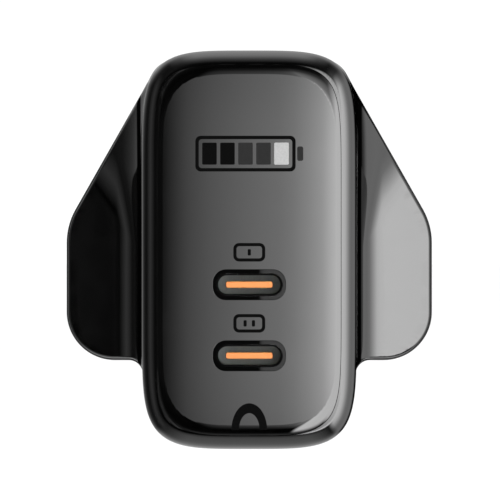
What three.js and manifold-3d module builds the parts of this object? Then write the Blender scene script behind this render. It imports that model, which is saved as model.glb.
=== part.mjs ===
// A wall charger with a fixed British three-pin plug and two USB-C ports.
// Millimetres. +Z is up and +Y points into the wall socket. The origin lies on the flat rear face
// that meets the socket, midway between the live and neutral pins.
import * as THREE from "three";
import { mergeVertices } from "three/addons/utils/BufferGeometryUtils.js";
import Module from "manifold-3d";

const wasm = await Module();
wasm.setup();

// Plug, to the British 13 A pin pattern
const PIN_SPACING = 22.2; // live to neutral, centre to centre
const EARTH_RISE = 22.2; // earth pin's centre above the line of the other two
const PIN_WIDTH = 6.35;
const PIN_THICKNESS = 4;
const PIN_LENGTH = 17.7;
const EARTH_WIDTH = 4;
const EARTH_HEIGHT = 7.95;
const EARTH_LENGTH = 22.7;
const SLEEVE_REACH = 9.2; // how far the insulating sleeve stands out of the rear face
const SLEEVE_WALL = 0.5;
const PIN_TIP = { length: 1.9, inset: 0.9 };

// Housing: an upright rounded body with a wing on each side
const DEPTH = 46;
const BODY_CENTRE_Z = 3.5;
const BODY_BACK = { halfWidth: 14.65, halfHeight: 26.9 };
const BODY_FRONT = { halfWidth: 14.15, halfHeight: 26.25 };
const SIDE_POWER = 4.1; // superellipse powers of the body's outline
const TOP_POWER = 8;
const FRONT_ROUNDING = 2;
const WING = { halfWidth: 25, thickness: 6.5, bottom: -11.5, shoulder: 7.3, top: 29.4 };
const WING_SLANT = Math.PI / 6; // the upper edges lean in from vertical
const WING_LOWER_RADIUS = 6.6;
const WING_SHOULDER_RADIUS = 9.3;
const WING_TOP_RADIUS = 4; // runs into the body's top corners
const WING_EDGE_ROUNDING = 0.5;
const ROOT_RADIUS = 4; // fillet where a wing's front face meets the body's side
const RAMP_SLOPE = 0.84; // the top of each wing's front face rises towards the body
const RAMP_START = { x: 19.8, z: 14.6 }; // a point on the line where the rise begins
const RAMP_DIRECTION = { x: 0.74, z: 0.67 }; // and that line's direction
const CAVITY = { halfWidth: 12.3, halfHeight: 25, radius: 5 };
const WING_WALL = 2;

// Front panel and the ledge that it is glued to
const PANEL = { halfWidth: 12.1, halfHeight: 24.45, thickness: 1.8, edge: 0.5 };
const PANEL_GAP = 0.12;
const LEDGE_WIDTH = 1.6;
const LEDGE_THICKNESS = 1.5;

// Rear cover: it carries the pins and stands out a little beyond the wings' sides
const COVER_THICKNESS = 2.4;
const COVER_STEP = 0.3;
const COVER_EDGE = { thickness: 0.25, size: 0.25, segments: 1 };
const COVER_RIB = { outer: 2.8, inner: 3.8, depth: 1.4 };
const BOSS_DEPTH = 1.8;

// USB-C receptacles
const PORT_Z = [-1.1, -10.45];
const SHELL = { width: 8.94, height: 3.16, wall: 0.3, recess: 0.5 };
const PORT_HOLE = { width: 9.2, height: 3.42 };
const TONGUE = { width: 6.5, height: 0.7, recess: 1.1, collarDepth: 2.3 };

// Circuit boards
const MAIN_BOARD = { left: -10.4, thickness: 1.2, front: -36, rear: -9, bottom: -18, top: 25 };
const PORT_BOARD = { rear: -37.2, thickness: 1, halfWidth: 11.6, halfHeight: 24, radius: 4 };
const TAB = { centres: [-4.5, 11.5], width: 3 };
const COMPONENT_X = MAIN_BOARD.left + MAIN_BOARD.thickness + 0.1; // seat of every upright component

const QUARTER = Math.PI / 2;
const panelFront = -DEPTH;
const panelBack = panelFront + PANEL.thickness;
const portBoardFront = PORT_BOARD.rear - PORT_BOARD.thickness;

const material = (color, roughness, metalness = 0) =>
  new THREE.MeshStandardMaterial({ color, roughness, metalness });
const glossBlack = material(0x0c0c0e, 0.12);
const satinBlack = material(0x17171a, 0.45);
const nickel = material(0xc9c7c0, 0.25, 1);
const steel = material(0xb8bac0, 0.3, 1);
const orangePlastic = material(0xf08a3c, 0.5);
const collarGrey = material(0x666666, 0.5);
const boardGreen = material(0x14532d, 0.5);
const chipBlack = material(0x121214, 0.6);
const ferrite = material(0x2b2b30, 0.8);
const yellowTape = material(0xe0b62a, 0.4);
const enamelWire = material(0xa8481c, 0.3, 0.6);
const canGrey = material(0x9ea2a8, 0.35, 1);
const sleevePlum = material(0x2a1f3d, 0.4);
const discBlue = material(0x1f5fa8, 0.4);
const boxYellow = material(0xe3c14a, 0.5);
const wireBrown = material(0x6b3a1e, 0.5);
const wireBlue = material(0x2457b0, 0.5);
const padGrey = material(0x8d9299, 0.9);
const filmAmber = material(0xb9812f, 0.3);
const aluminium = material(0xc4c6c9, 0.35, 1);

const charger = new THREE.Group();

// ---- Solids and outlines ----

function solid(geometry) {
  const loose = geometry.index ? geometry.toNonIndexed() : geometry;
  const bare = new THREE.BufferGeometry();
  bare.setAttribute("position", loose.getAttribute("position"));
  const merged = mergeVertices(bare, 1e-4);
  return new wasm.Manifold(
    new wasm.Mesh({
      numProp: 3,
      vertProperties: merged.attributes.position.array,
      triVerts: new Uint32Array(merged.index.array),
    }),
  );
}

function geometryOf(shape) {
  const mesh = shape.getMesh();
  const geometry = new THREE.BufferGeometry();
  geometry.setAttribute("position", new THREE.BufferAttribute(mesh.vertProperties, 3));
  geometry.setIndex(new THREE.BufferAttribute(mesh.triVerts, 1));
  geometry.computeVertexNormals();
  return geometry;
}

function add(name, shape, look) {
  const geometry = shape.isBufferGeometry ? shape : geometryOf(shape);
  const mesh = new THREE.Mesh(geometry, look);
  mesh.name = name;
  charger.add(mesh);
  return mesh;
}

// An outline in X and Z, drawn as a Shape's x and y, extruded from yFront back to yRear.
function prism(shape, yFront, yRear, bevel = { thickness: 0, size: 0, segments: 0 }) {
  const geometry = new THREE.ExtrudeGeometry(shape, {
    depth: yRear - yFront - 2 * bevel.thickness,
    curveSegments: 8,
    bevelEnabled: bevel.size > 0,
    bevelThickness: bevel.thickness,
    bevelSize: bevel.size,
    bevelOffset: -bevel.size,
    bevelSegments: bevel.segments,
  });
  return geometry.translate(0, 0, bevel.thickness).rotateX(QUARTER).translate(0, yRear, 0);
}

function block(x0, x1, y0, y1, z0, z1) {
  return new THREE.BoxGeometry(x1 - x0, y1 - y0, z1 - z0).translate(
    (x0 + x1) / 2,
    (y0 + y1) / 2,
    (z0 + z1) / 2,
  );
}

// A round solid from [radius, x] pairs, its axis along X through (y, z).
function turnedAlongX(profile, y, z, segments = 24) {
  const points = profile.map(([radius, x]) => new THREE.Vector2(radius, x));
  return new THREE.LatheGeometry(points, segments).rotateZ(-QUARTER).translate(0, y, z);
}

// The same with its axis along Y, through (x, z).
function turnedAlongY(profile, x, z, segments = 24) {
  const points = profile.map(([radius, y]) => new THREE.Vector2(radius, y));
  return new THREE.LatheGeometry(points, segments).translate(x, 0, z);
}

// A closed outline through corners [x, z, radius], each rounded by an arc.
function roundedPolygon(corners, arcSteps = 8) {
  const points = [];
  corners.forEach(([x, z, radius], i) => {
    const corner = new THREE.Vector2(x, z);
    const towards = (k) => {
      const [nx, nz] = corners[(i + k + corners.length) % corners.length];
      return new THREE.Vector2(nx - x, nz - z).normalize();
    };
    const before = towards(-1);
    const after = towards(1);
    const half = Math.acos(THREE.MathUtils.clamp(before.dot(after), -1, 1)) / 2;
    const inward = before.clone().add(after).normalize();
    const centre = corner.clone().addScaledVector(inward, radius / Math.sin(half));
    const start = corner.clone().addScaledVector(before, radius / Math.tan(half)).sub(centre);
    const turn = Math.PI - 2 * half;
    const steps = Math.max(1, Math.round((arcSteps * turn) / QUARTER));
    for (let k = 0; k <= steps; k++) {
      const arm = start.clone().rotateAround(new THREE.Vector2(), (turn * k) / steps);
      points.push(centre.clone().add(arm));
    }
  });
  return new THREE.Shape(points);
}

function roundedRectangle(halfWidth, halfHeight, radius, x = 0, z = 0, arcSteps = 6) {
  return roundedPolygon(
    [
      [x + halfWidth, z - halfHeight, radius],
      [x + halfWidth, z + halfHeight, radius],
      [x - halfWidth, z + halfHeight, radius],
      [x - halfWidth, z - halfHeight, radius],
    ],
    arcSteps,
  );
}

const pill = (width, height, z) =>
  roundedRectangle(width / 2, height / 2, height / 2 - 0.001, 0, z, 6);

function superellipse(halfWidth, halfHeight, steps = 72) {
  const points = [];
  for (let i = 0; i < steps; i++) {
    const t = (2 * Math.PI * i) / steps;
    const c = Math.cos(t);
    const s = Math.sin(t);
    points.push(
      new THREE.Vector2(
        halfWidth * Math.sign(c) * Math.abs(c) ** (2 / SIDE_POWER),
        BODY_CENTRE_Z + halfHeight * Math.sign(s) * Math.abs(s) ** (2 / TOP_POWER),
      ),
    );
  }
  return new THREE.Shape(points);
}

const bodyOutline = (inset) =>
  superellipse(BODY_BACK.halfWidth - inset, BODY_BACK.halfHeight - inset);

// Both wings and the web between them, behind the body: flat bottom, leaning upper edges.
function wingOutline(inset) {
  const side = WING.halfWidth - inset;
  const bottom = WING.bottom + inset;
  const top = WING.top - inset;
  const shoulder = WING.shoulder - inset * Math.tan(WING_SLANT / 2);
  const topX = side - (top - shoulder) * Math.tan(WING_SLANT);
  const lower = WING_LOWER_RADIUS - inset;
  const upper = WING_SHOULDER_RADIUS - inset;
  const peak = WING_TOP_RADIUS - inset;
  return roundedPolygon([
    [side, bottom, lower],
    [side, shoulder, upper],
    [topX, top, peak],
    [-topX, top, peak],
    [-side, shoulder, upper],
    [-side, bottom, lower],
  ]);
}

// Narrows a body-shaped geometry from its rear size to its front size.
function withDraft(geometry) {
  const place = geometry.getAttribute("position");
  const narrowX = 1 - BODY_FRONT.halfWidth / BODY_BACK.halfWidth;
  const narrowZ = 1 - BODY_FRONT.halfHeight / BODY_BACK.halfHeight;
  for (let i = 0; i < place.count; i++) {
    const forward = -place.getY(i) / DEPTH;
    place.setX(i, place.getX(i) * (1 - narrowX * forward));
    place.setZ(i, BODY_CENTRE_Z + (place.getZ(i) - BODY_CENTRE_Z) * (1 - narrowZ * forward));
  }
  return geometry;
}

// ---- Housing ----

const overshoot = 1; // how far a cutting solid runs past the face that it cuts
const housingRear = -COVER_THICKNESS;
const behindHousing = () => solid(block(-40, 40, housingRear, 10, -60, 60));

function bodyBlock() {
  const rounding = { thickness: FRONT_ROUNDING, size: FRONT_ROUNDING, segments: 5 };
  const long = withDraft(prism(bodyOutline(0), -DEPTH, 2 * FRONT_ROUNDING, rounding));
  return solid(long).subtract(behindHousing());
}

// Each wing's front face rises towards the body above a line that leans outwards.
function wingRamps() {
  const outline = wingOutline(COVER_STEP);
  const tall = solid(prism(outline, -DEPTH / 2, -WING.thickness + WING_EDGE_ROUNDING));
  const lineStart = new THREE.Vector3(RAMP_START.x, -WING.thickness, RAMP_START.z);
  const along = new THREE.Vector3(RAMP_DIRECTION.x, 0, RAMP_DIRECTION.z).normalize();
  const upSlope = new THREE.Vector3(-along.z, -RAMP_SLOPE, along.x).normalize();
  const reach = 60;
  const facing = new THREE.Vector3().crossVectors(along, upSlope).normalize();
  if (facing.y > 0) facing.negate();
  const behind = facing.clone().negate();
  const across = new THREE.Vector3().crossVectors(along, behind);
  const half = new THREE.BoxGeometry(reach, reach, reach).applyMatrix4(
    new THREE.Matrix4().makeBasis(along, behind, across),
  );
  const centre = lineStart.addScaledVector(behind, reach / 2);
  half.translate(centre.x, centre.y, centre.z);
  const right = tall.intersect(solid(half)).intersect(solid(block(0, 40, -60, 10, -60, 60)));
  return right.add(right.mirror([1, 0, 0]));
}

// A concave fillet swept down each side of the body, in the corner between side and wing.
function wingRoots() {
  const corner = new THREE.Shape();
  const buried = 1.5;
  corner.moveTo(-buried, -buried);
  corner.lineTo(ROOT_RADIUS, -buried);
  corner.lineTo(ROOT_RADIUS, 0);
  corner.absarc(ROOT_RADIUS, ROOT_RADIUS, ROOT_RADIUS, -QUARTER, -Math.PI, true);
  corner.lineTo(-buried, ROOT_RADIUS);
  const geometry = new THREE.ExtrudeGeometry(corner, {
    depth: 44,
    curveSegments: 6,
    bevelEnabled: false,
  });
  geometry.rotateX(Math.PI).translate(0, -WING.thickness, 28);
  const place = geometry.getAttribute("position");
  for (let i = 0; i < place.count; i++) {
    const height = Math.abs((place.getZ(i) - BODY_CENTRE_Z) / BODY_BACK.halfHeight);
    const side = BODY_BACK.halfWidth * (1 - Math.min(height, 0.9) ** TOP_POWER) ** (1 / SIDE_POWER);
    place.setX(i, place.getX(i) + side - 0.08);
  }
  const root = solid(geometry).intersect(
    solid(prism(wingOutline(COVER_STEP + 0.1), -WING.thickness - 2 * ROOT_RADIUS, housingRear)),
  );
  return root.add(root.mirror([1, 0, 0]));
}

function housingShell() {
  const edge = { thickness: WING_EDGE_ROUNDING, size: WING_EDGE_ROUNDING, segments: 2 };
  const wings = solid(prism(wingOutline(COVER_STEP), -WING.thickness, 0, edge)).subtract(
    behindHousing(),
  );
  const outside = bodyBlock().add(wings).add(wingRamps()).add(wingRoots());
  const cavity = roundedRectangle(
    CAVITY.halfWidth,
    CAVITY.halfHeight,
    CAVITY.radius,
    0,
    BODY_CENTRE_Z,
  );
  const cutters = [
    prism(cavity, panelBack + LEDGE_THICKNESS, overshoot),
    prism(wingOutline(WING_WALL), -WING.thickness + WING_WALL, overshoot),
    prism(panelOutline(-PANEL_GAP), panelFront - overshoot, panelBack),
    prism(panelOutline(LEDGE_WIDTH), panelFront - overshoot, panelBack + 2 * LEDGE_THICKNESS),
  ];
  return cutters.reduce((shell, cutter) => shell.subtract(solid(cutter)), outside);
}

function panelOutline(inset) {
  return superellipse(PANEL.halfWidth - inset, PANEL.halfHeight - inset, 56);
}

function frontPanel() {
  const edge = { thickness: PANEL.edge, size: PANEL.edge, segments: 2 };
  const plate = solid(prism(panelOutline(0), panelFront, panelBack + PANEL.edge, edge));
  const cutters = [block(-40, 40, panelBack, panelBack + 2, -60, 60)];
  for (const z of PORT_Z) {
    cutters.push(prism(pill(PORT_HOLE.width, PORT_HOLE.height, z), panelFront - 1, panelBack + 1));
  }
  return cutters.reduce((panel, cutter) => panel.subtract(solid(cutter)), plate);
}

// ---- Rear cover, pins and mains wires ----

const pinSection = (x, z, halfWidth, halfHeight) =>
  roundedRectangle(halfWidth, halfHeight, 0.3, x, z, 2);

const earthSection = (grow) =>
  pinSection(0, EARTH_RISE, EARTH_WIDTH / 2 + grow, EARTH_HEIGHT / 2 + grow);

function rearCover() {
  const rib = COVER_RIB;
  const back = -COVER_THICKNESS;
  const both = (inset, yFront, yRear, edge) =>
    solid(prism(bodyOutline(inset), yFront, yRear, edge)).add(
      solid(prism(wingOutline(inset), yFront, yRear, edge)),
    );
  const ring = both(rib.outer, back - rib.depth, back + 0.5).subtract(
    both(rib.inner, back - 2 * rib.depth, back),
  );
  let cover = both(0, back, 0, COVER_EDGE).add(ring);
  for (const side of [-1, 1]) {
    const x = (side * PIN_SPACING) / 2;
    cover = cover.add(
      solid(prism(pinSection(x, 0, 4.6, 3.5), back - BOSS_DEPTH, back + 0.5)),
    );
    cover = cover.subtract(
      solid(prism(pinSection(x, 0, PIN_WIDTH / 2 + 0.05, PIN_THICKNESS / 2 + 0.05), -9, 1)),
    );
  }
  cover = cover.add(
    solid(prism(pinSection(0, EARTH_RISE, 3.4, 5), back - BOSS_DEPTH, back + 0.5)),
  );
  return cover.subtract(solid(prism(earthSection(0.05), -9, 1)));
}

// A pin of one section throughout, drawn in on all four sides at its tip.
function blade(x, z, halfWidth, halfHeight, yRear, yTip) {
  const section = pinSection(x, z, halfWidth, halfHeight);
  const neck = yTip - PIN_TIP.length;
  const tip = prism(section, neck, yTip);
  const place = tip.getAttribute("position");
  for (let i = 0; i < place.count; i++) {
    if (place.getY(i) < yTip - PIN_TIP.length / 2) continue;
    place.setX(i, x + (place.getX(i) - x) * (1 - PIN_TIP.inset / halfWidth));
    place.setZ(i, z + (place.getZ(i) - z) * (1 - PIN_TIP.inset / halfHeight));
  }
  return solid(prism(section, yRear, neck)).add(solid(tip));
}

// A contact pin: full section beyond the sleeve, a thinner shank inside it, and a solder tail.
function contactPin(side) {
  const x = (side * PIN_SPACING) / 2;
  const outer = blade(x, 0, PIN_WIDTH / 2, PIN_THICKNESS / 2, SLEEVE_REACH + 0.05, PIN_LENGTH);
  const thinner = SLEEVE_WALL + 0.02;
  const shank = pinSection(x, 0, PIN_WIDTH / 2 - thinner, PIN_THICKNESS / 2 - thinner);
  const tailX = x - side * 0.4;
  const tail = block(tailX - 1.5, tailX + 1.5, -5.9, 0, -1, 1);
  return [prism(shank, -4.2, SLEEVE_REACH + 1), tail].reduce(
    (sum, piece) => sum.add(solid(piece)),
    outer,
  );
}

function pinSleeve(side) {
  const x = (side * PIN_SPACING) / 2;
  const outer = pinSection(x, 0, PIN_WIDTH / 2, PIN_THICKNESS / 2);
  const inner = pinSection(x, 0, PIN_WIDTH / 2 - SLEEVE_WALL, PIN_THICKNESS / 2 - SLEEVE_WALL);
  return solid(prism(outer, -4.1, SLEEVE_REACH)).subtract(
    solid(prism(inner, -5, SLEEVE_REACH + 1)),
  );
}

const earthPin = () =>
  blade(0, EARTH_RISE, EARTH_WIDTH / 2, EARTH_HEIGHT / 2, -6, EARTH_LENGTH);

// An insulated wire along a smooth curve through the points.
function wire(points, radius = 0.65) {
  const section = new THREE.Shape();
  section.absarc(0, 0, radius, 0, 2 * Math.PI, false);
  return new THREE.ExtrudeGeometry(section, {
    steps: 24,
    curveSegments: 4,
    extrudePath: new THREE.CatmullRomCurve3(points.map((p) => new THREE.Vector3(...p))),
  });
}

// Both wires run from a pin's tail, round the board's rear edge, to its component side.
const liveRoute = [
  [10.7, -6.1, 0],
  [10.65, -6.9, 0.05],
  [10, -7.6, 0.9],
  [7, -7.9, 3.4],
  [0, -8, 6.6],
  [-5, -8.1, 8.2],
  [-7.3, -9.2, 8.6],
  [-8.2, -10.5, 8.6],
  [-9.15, -10.7, 8.6],
];
const neutralRoute = [
  [-10.7, -6.1, 0],
  [-10.65, -6.8, 0.05],
  [-10.2, -7.5, 1.2],
  [-8.9, -8.2, 3.6],
  [-7.5, -9, 5.4],
  [-7.3, -10.1, 5.9],
  [-8.2, -10.7, 6],
  [-9.15, -10.8, 6],
];

add("housing", housingShell(), glossBlack);
add("front_panel", frontPanel(), glossBlack);
add("rear_cover", rearCover(), satinBlack);
add("live_pin", contactPin(1), nickel);
add("neutral_pin", contactPin(-1), nickel);
add("live_pin_sleeve", pinSleeve(1), satinBlack);
add("neutral_pin_sleeve", pinSleeve(-1), satinBlack);
add("earth_pin", earthPin(), satinBlack);
add("live_wire", wire(liveRoute), wireBrown);
add("neutral_wire", wire(neutralRoute), wireBlue);

// ---- Circuit boards and USB-C receptacles ----

function mainBoard() {
  const b = MAIN_BOARD;
  const right = b.left + b.thickness;
  let board = solid(block(b.left, right, b.front, b.rear, b.bottom, b.top));
  for (const z of TAB.centres) {
    const tab = block(b.left, right, portBoardFront, b.front + 1, z - TAB.width / 2, z + TAB.width / 2);
    board = board.add(solid(tab));
  }
  return board;
}

function portBoard() {
  const b = PORT_BOARD;
  const outline = roundedRectangle(b.halfWidth, b.halfHeight, b.radius, 0, BODY_CENTRE_Z);
  const slack = 0.2;
  for (const z of TAB.centres) {
    outline.holes.push(
      roundedRectangle(
        MAIN_BOARD.thickness / 2 + slack,
        TAB.width / 2 + slack,
        0.1,
        MAIN_BOARD.left + MAIN_BOARD.thickness / 2,
        z,
        1,
      ),
    );
  }
  return prism(outline, portBoardFront, b.rear);
}

function receptacleShell(z) {
  const front = panelFront + SHELL.recess;
  const inner = pill(SHELL.width - 2 * SHELL.wall, SHELL.height - 2 * SHELL.wall, z);
  return solid(prism(pill(SHELL.width, SHELL.height, z), front, portBoardFront)).subtract(
    solid(prism(inner, front - 1, portBoardFront + 1)),
  );
}

// The blade that carries the contacts.
function receptacleTongue(z) {
  const section = roundedRectangle(TONGUE.width / 2, TONGUE.height / 2, 0.2, 0, z, 2);
  return prism(section, panelFront + TONGUE.recess, portBoardFront);
}

// The insulator that fills the back of the shell and holds the tongue.
function receptacleCollar(z) {
  const play = 2 * SHELL.wall + 0.1;
  const clearance = 0.02;
  const reach = [TONGUE.width / 2 + clearance, TONGUE.height / 2 + clearance];
  const slot = prism(roundedRectangle(...reach, 0.2, 0, z, 2), panelFront, 0);
  const collar = prism(
    pill(SHELL.width - play, SHELL.height - play, z),
    portBoardFront - TONGUE.collarDepth,
    portBoardFront,
  );
  return solid(collar).subtract(solid(slot));
}

add("main_board", mainBoard(), boardGreen);
add("port_board", portBoard(), boardGreen);
PORT_Z.forEach((z, i) => {
  add(`usb_shell_${i + 1}`, receptacleShell(z), steel);
  add(`usb_tongue_${i + 1}`, receptacleTongue(z), orangePlastic);
  add(`usb_collar_${i + 1}`, receptacleCollar(z), collarGrey);
});

// ---- Transformer ----

const TRANSFORMER = { y: -26.5, z: 15, bottom: -8.9, top: 7.9 };

function transformerBobbin() {
  const { y, z } = TRANSFORMER;
  const rails = [-1, 1].map((side) =>
    block(COMPONENT_X, -5.2, y + side * 7.3 - 1.2, y + side * 7.3 + 1.2, z - 7, z + 7),
  );
  const flanges = [
    block(-6.2, -5.2, y - 8.5, y + 8.5, z - 6, z + 6),
    block(4.2, 5.2, y - 6, y + 6, z - 6, z + 6),
  ];
  const tube = turnedAlongX([[0, -6.2], [3.6, -6.2], [3.6, 5.2], [0, 5.2]], y, z);
  const hole = turnedAlongX([[0, -9], [3, -9], [3, 9], [0, 9]], y, z);
  return [...rails, ...flanges]
    .reduce((sum, piece) => sum.add(solid(piece)), solid(tube))
    .subtract(solid(hole));
}

// One E-shaped ferrite half: a back plate from xPlate to xFoot, and three legs that reach xTip.
function transformerCore(xPlate, xFoot, xTip) {
  const { y, z } = TRANSFORMER;
  const span = (a, b, ...rest) => block(Math.min(a, b), Math.max(a, b), ...rest);
  const plate = span(xPlate, xFoot, y - 5.7, y + 5.7, z - 8.5, z + 8.5);
  const legs = [-1, 1].map((side) =>
    span(xPlate, xTip, y - 5.7, y + 5.7, z + side * 7.35 - 1.15, z + side * 7.35 + 1.15),
  );
  const low = Math.min(xPlate, xTip);
  const high = Math.max(xPlate, xTip);
  const middle = turnedAlongX([[0, low], [2.9, low], [2.9, high], [0, high]], y, z);
  return [plate, ...legs].reduce((sum, piece) => sum.add(solid(piece)), solid(middle));
}

const windingRing = (inner, outer, x0, x1, y, z) =>
  turnedAlongX([[inner, x0], [outer, x0], [outer, x1], [inner, x1], [inner, x0]], y, z);

add("transformer_bobbin", transformerBobbin(), satinBlack);
add("transformer_core_lower", transformerCore(TRANSFORMER.bottom, -6.3, -0.6), ferrite);
add("transformer_core_upper", transformerCore(TRANSFORMER.top, 5.3, -0.5), ferrite);
add("transformer_winding", windingRing(3.7, 5.9, -5.1, 4.1, TRANSFORMER.y, TRANSFORMER.z), yellowTape);

// ---- Mains side components ----

// A radial electrolytic capacitor standing along X, with its rolled crimp near the foot.
function electrolytic(radius, foot, tip, y, z) {
  const crimp = radius - 0.5;
  const profile = [
    [0, foot],
    [radius - 0.3, foot],
    [radius, foot + 0.4],
    [radius, foot + 1.3],
    [crimp, foot + 1.8],
    [radius, foot + 2.3],
    [radius, tip - 0.5],
    [radius - 0.5, tip],
    [0, tip],
  ];
  return turnedAlongX(profile, y, z);
}

[-13.6, -22.6, -31.6].forEach((y, i) => {
  add(`bulk_capacitor_${i + 1}`, electrolytic(4.2, COMPONENT_X, 9.9, y, -13), sleevePlum);
});

const CHOKE = { x: -0.9, y: -13.2, z: 12.9, ring: 4.6, core: 1.7, wire: 0.45 };

// One winding of the common-mode choke: a helix round one side of the ring core.
function chokeWinding(side) {
  const turns = 7;
  const stepsPerTurn = 8;
  const coilRadius = (CHOKE.core + CHOKE.wire + 0.12) / Math.cos(Math.PI / stepsPerTurn);
  const points = [];
  for (let i = 0; i <= turns * stepsPerTurn; i++) {
    const round = (2 * Math.PI * i) / stepsPerTurn;
    const along = THREE.MathUtils.degToRad(-62 + (124 * i) / (turns * stepsPerTurn));
    const reach = CHOKE.ring + coilRadius * Math.cos(round);
    points.push(
      new THREE.Vector3(
        CHOKE.x + reach * Math.sin(along),
        CHOKE.y + coilRadius * Math.sin(round),
        CHOKE.z + side * reach * Math.cos(along),
      ),
    );
  }
  const section = new THREE.Shape();
  section.absarc(0, 0, CHOKE.wire, 0, 2 * Math.PI, false);
  return new THREE.ExtrudeGeometry(section, {
    steps: turns * stepsPerTurn,
    curveSegments: 3,
    extrudePath: new THREE.CatmullRomCurve3(points),
  });
}

const chokeCore = new THREE.TorusGeometry(CHOKE.ring, CHOKE.core, 10, 28)
  .rotateX(QUARTER)
  .translate(CHOKE.x, CHOKE.y, CHOKE.z);
const chokeFoot = CHOKE.x - CHOKE.ring - CHOKE.core - 0.55;
add("choke_base", block(COMPONENT_X, chokeFoot, -15.6, -11.2, 10.2, 18.6), satinBlack);
add("choke_core", chokeCore, ferrite);
add("choke_winding_1", chokeWinding(1), enamelWire);
add("choke_winding_2", chokeWinding(-1), enamelWire);

// A lacquered disc on edge, its flat faces towards Z.
const disc = (radius, thickness, x, y, z) =>
  new THREE.LatheGeometry(
    [
      [0, -thickness / 2],
      [radius - 0.6, -thickness / 2],
      [radius, -thickness / 4],
      [radius, thickness / 4],
      [radius - 0.6, thickness / 2],
      [0, thickness / 2],
    ].map(([r, h]) => new THREE.Vector2(r, h)),
    24,
  )
    .rotateX(QUARTER)
    .translate(x, y, z);

add("x_capacitor", block(COMPONENT_X, 3, -15.5, -9.5, -8.3, 4.2), boxYellow);
add("varistor", disc(3.5, 3, -5.5, -13, 22.9), discBlue);
add("y_capacitor", disc(3.2, 2.5, -5.8, -20.5, 3.4), discBlue);
const fuseProfile = [
  [0, COMPONENT_X],
  [3.2, COMPONENT_X],
  [3.2, -1.4],
  [2.7, -1],
  [0, -1],
];
add("fuse", turnedAlongX(fuseProfile, -20, -4), chipBlack);
add("bridge_rectifier", block(COMPONENT_X, -6.6, -35, -28.6, -8.2, -3.2), chipBlack);
add("optocoupler", block(COMPONENT_X, -5.6, -28.2, -23.8, -8.2, -2.2), chipBlack);

const drum = { y: -30.5, z: 2, foot: COMPONENT_X, tip: -1.1 };
const drumProfile = [
  [0, drum.foot],
  [3.5, drum.foot],
  [3.5, drum.foot + 1],
  [1.6, drum.foot + 1],
  [1.6, drum.tip - 1],
  [3.5, drum.tip - 1],
  [3.5, drum.tip],
  [0, drum.tip],
];
add("filter_inductor_core", turnedAlongX(drumProfile, drum.y, drum.z), ferrite);
add(
  "filter_inductor_winding",
  windingRing(1.7, 3.2, drum.foot + 1.1, drum.tip - 1.1, drum.y, drum.z),
  enamelWire,
);

// ---- Surface-mounted chips on the main board's solder side ----

const solderSide = MAIN_BOARD.left;
add("primary_switch", block(solderSide - 0.9, solderSide, -24, -16, 2, 8), chipBlack);
add("pwm_controller", block(solderSide - 1.2, solderSide, -24, -19, -8, -4), chipBlack);
add("sync_rectifier", block(solderSide - 1, solderSide, -34, -28, 14, 19), chipBlack);

// ---- Port board components ----

const rearSide = PORT_BOARD.rear;
[-4.6, 2.4].forEach((z, i) => {
  const profile = [
    [0, rearSide + 0.1],
    [3.15, rearSide + 0.1],
    [3.15, rearSide + 7.8],
    [2.8, rearSide + 8.1],
    [0, rearSide + 8.1],
  ];
  add(`output_capacitor_${i + 1}`, turnedAlongY(profile, 4.5, z), canGrey);
});
[-5, -14].forEach((z, i) => {
  add(`port_controller_${i + 1}`, block(-6, -2, rearSide, rearSide + 0.8, z, z + 4), chipBlack);
});
[-8, 1.4].forEach((x, i) => {
  add(
    `port_inductor_${i + 1}`,
    block(x, x + 6.6, portBoardFront - 3, portBoardFront, 8, 14.6),
    ferrite,
  );
});

// ---- Heat path and insulation ----

const spreaderOutline = roundedRectangle(12.5, 17.5, 1.5, -22.5, 3.5, 2);
const alongX = (shape, x0, x1) =>
  new THREE.ExtrudeGeometry(shape, { depth: x1 - x0, curveSegments: 2, bevelEnabled: false })
    .rotateX(QUARTER)
    .rotateZ(QUARTER)
    .translate(x0, 0, 0);
add("heat_spreader", alongX(spreaderOutline, 11, 11.8), aluminium);
add("thermal_pad", block(8, 10.9, -32, -21, 8, 22), padGrey);
add("insulation_sheet", alongX(roundedRectangle(13, 17, 1.5, -22.5, 3.5, 2), -12, -11.7), filmAmber);

export default charger;
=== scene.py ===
"""The looks of a two-port wall charger with a fixed British plug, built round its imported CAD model.

Lengths in the modelling code are millimetres, in the CAD model's frame: +X right, +Y into the wall,
+Z up, the origin on the rear face between the live and neutral pins. Objects are made in metres.
"""

import math

import bmesh
import bpy
import numpy as np
from mathutils import Matrix, Vector


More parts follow.
